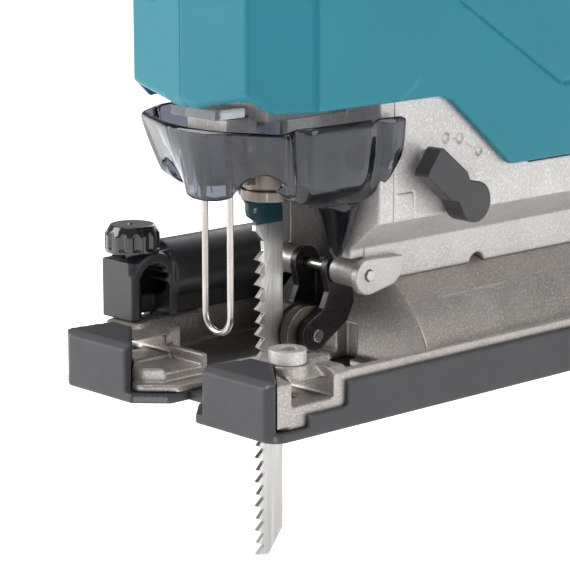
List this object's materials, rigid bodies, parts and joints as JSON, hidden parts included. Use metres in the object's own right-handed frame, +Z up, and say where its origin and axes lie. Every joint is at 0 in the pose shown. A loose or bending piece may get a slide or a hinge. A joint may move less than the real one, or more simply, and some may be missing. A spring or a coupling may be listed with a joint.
{
  "type": "cordless jigsaw",
  "caption": "Cordless D-handle jigsaw with tilting cast base, roller-guided blade, orbital lever, smoke dust cover, clip-on dust nozzle and slide-off battery.",
  "frame": {"origin": "on the underside of the sole, on the mid-plane, 100 mm behind the front edge of the base; the bevel axis runs through it along X", "axes": "+X is the cutting direction, +Y the left side of the tool, +Z up"},
  "size_m": [0.2656, 0.081, 0.2421],
  "materials": {
    "teal_shell": "fine textured moulded",
    "cast_silver": "blasted die cast",
    "base_cast": "blasted die cast",
    "black_plastic": "fine textured",
    "shoe_plastic": "fine textured",
    "gloss_black": "moulded gloss",
    "rubber_grip": "soft ribbed",
    "smoke_clear": "smoke tinted clear plastic",
    "bright_steel": "drawn",
    "blade_steel": "ground",
    "blued_steel": "black oxide",
    "bronze_roller": "turned",
    "sinter_steel": "machined",
    "bearing_steel": "ground",
    "bronze": "sintered bronze",
    "clear_lens": "clear",
    "circuit": "potted",
    "cell_wrap": "shrink film",
    "latch_red": "moulded",
    "nickel_white": "sintered and plated"
  },
  "bodies": {
    "tool_body": {"gear_housing": "cast_silver", "gear_cover": "cast_silver", "gear_screws": "blued_steel", "housing_left": "teal_shell", "housing_right": "teal_shell", "grip_overmould": "rubber_grip", "housing_screws": "blued_steel", "dust_cover": "smoke_clear", "wire_guard": "bright_steel", "plunger_bushings": "bronze", "roller_bracket": "nickel_white", "pivot_pin": "bright_steel", "motor_stator": "sinter_steel", "motor_bearings": "bearing_steel", "crank_bearing": "bearing_steel", "controller": "circuit", "switch_unit": "black_plastic", "trigger_spring": "bright_steel", "led_lens": "clear_lens", "terminal_block": "black_plastic", "hex_key": "blued_steel", "clamp_nut": "bright_steel", "clamp_washer": "bright_steel"},
    "base": {"base_plate": "base_cast", "base_shoe": "shoe_plastic", "splinter_insert": "black_plastic", "dust_nozzle": "black_plastic"},
    "bevel_bolt": {"bevel_bolt": "blued_steel"},
    "fence_screw": {"fence_screw": "cast_silver"},
    "nozzle_screw": {"nozzle_screw": "gloss_black"},
    "plunger": {"plunger": "bearing_steel", "yoke_plate": "sinter_steel", "blade_clamp": "sinter_steel", "blade": "blade_steel"},
    "clamp_ring": {"clamp_ring": "bronze_roller"},
    "release_lever": {"release_lever": "teal_shell"},
    "roller_arm": {"roller_arm": "blued_steel", "roller_pin": "bright_steel"},
    "roller": {"roller": "bronze_roller"},
    "orbit_lever": {"orbit_lever": "black_plastic", "orbit_cam": "sinter_steel"},
    "rotor": {"motor_rotor": "bearing_steel", "motor_fan": "black_plastic"},
    "crank": {"crank_gear": "sinter_steel", "crank_roller": "bearing_steel"},
    "counterweight": {"counterweight": "sinter_steel"},
    "trigger": {"trigger": "black_plastic"},
    "lock_button": {"lock_button": "black_plastic"},
    "speed_dial": {"speed_dial": "black_plastic"},
    "battery": {"battery_shell": "black_plastic", "battery_cover": "black_plastic", "battery_cells": "cell_wrap", "latch_spring": "bright_steel"},
    "battery_latch": {"battery_latch": "latch_red"}
  },
  "joints": [
    {"name": "base_bevel", "type": "hinge", "parent": "tool_body", "child": "base", "pos_m": [0, 0, 0], "axis": [1, 0, 0], "range_deg": [0, 45]},
    {"name": "bevel_bolt_turn", "type": "hinge", "parent": "tool_body", "child": "bevel_bolt", "pos_m": [-0.03, 0, 0.02], "axis": [0, 0, 1], "range_deg": [0, 90]},
    {"name": "fence_screw_turn", "type": "hinge", "parent": "base", "child": "fence_screw", "pos_m": [0.0871, 0.028, 0.015], "axis": [0, 0, 1], "continuous": true},
    {"name": "nozzle_screw_turn", "type": "hinge", "parent": "base", "child": "nozzle_screw", "pos_m": [0.0833, -0.0305, 0.03], "axis": [0, 0, 1], "continuous": true},
    {"name": "plunger_stroke", "type": "slide", "parent": "tool_body", "child": "plunger", "axis": [0, 0, 1], "range_m": [-0.018, 0.008]},
    {"name": "clamp_ring_turn", "type": "hinge", "parent": "plunger", "child": "clamp_ring", "pos_m": [0.06725, 0, 0.05], "axis": [0, 0, 1], "range_deg": [-35, 0]},
    {"name": "release_lever_swing", "type": "hinge", "parent": "tool_body", "child": "release_lever", "pos_m": [0.076, -0.025, 0.1], "axis": [0, 0, 1], "range_deg": [-60, 0]},
    {"name": "roller_arm_swing", "type": "hinge", "parent": "tool_body", "child": "roller_arm", "pos_m": [0.0506, 0, 0.0276], "axis": [0, 1, 0], "range_deg": [0, 6]},
    {"name": "roller_spin", "type": "hinge", "parent": "roller_arm", "child": "roller", "pos_m": [0.058, 0, 0.0127], "axis": [0, 1, 0], "continuous": true},
    {"name": "orbit_select", "type": "hinge", "parent": "tool_body", "child": "orbit_lever", "pos_m": [0.0294, 0, 0.0444], "axis": [0, 1, 0], "range_deg": [-75, 0]},
    {"name": "motor_spin", "type": "hinge", "parent": "tool_body", "child": "rotor", "pos_m": [0, 0, 0.079], "axis": [1, 0, 0], "continuous": true},
    {"name": "crank_spin", "type": "hinge", "parent": "tool_body", "child": "crank", "pos_m": [0.036, 0, 0.09995], "axis": [1, 0, 0], "continuous": true},
    {"name": "counterweight_slide", "type": "slide", "parent": "tool_body", "child": "counterweight", "axis": [0, 0, 1], "range_m": [-0.0032, 0.0072]},
    {"name": "trigger_pull", "type": "slide", "parent": "tool_body", "child": "trigger", "axis": [0, 0, 1], "range_m": [0, 0.005], "stiffness_N_per_m": 400, "springref_m": -0.003, "deforming": ["trigger_spring"]},
    {"name": "lock_push", "type": "slide", "parent": "tool_body", "child": "lock_button", "axis": [0, 1, 0], "range_m": [-0.003, 0.003]},
    {"name": "speed_dial_turn", "type": "hinge", "parent": "tool_body", "child": "speed_dial", "pos_m": [-0.0522, 0, 0.1934], "axis": [0, 1, 0], "range_deg": [-150, 150]},
    {"name": "battery_slide", "type": "slide", "parent": "tool_body", "child": "battery", "axis": [0, 0, 1], "range_m": [0, 0.09]},
    {"name": "latch_press", "type": "slide", "parent": "battery", "child": "battery_latch", "axis": [0, 0, 1], "range_m": [-0.004, 0], "stiffness_N_per_m": 500, "springref_m": 0.003, "deforming": ["latch_spring"]}
  ],
  "couplings": [
    {"joint": "crank_spin", "follows": "motor_spin", "ratio": -0.18182},
    {"joint": "counterweight_slide", "follows": "plunger_stroke", "ratio": -0.4},
    {"joint": "clamp_ring_turn", "follows": "release_lever_swing", "ratio": 0.58333}
  ]
}
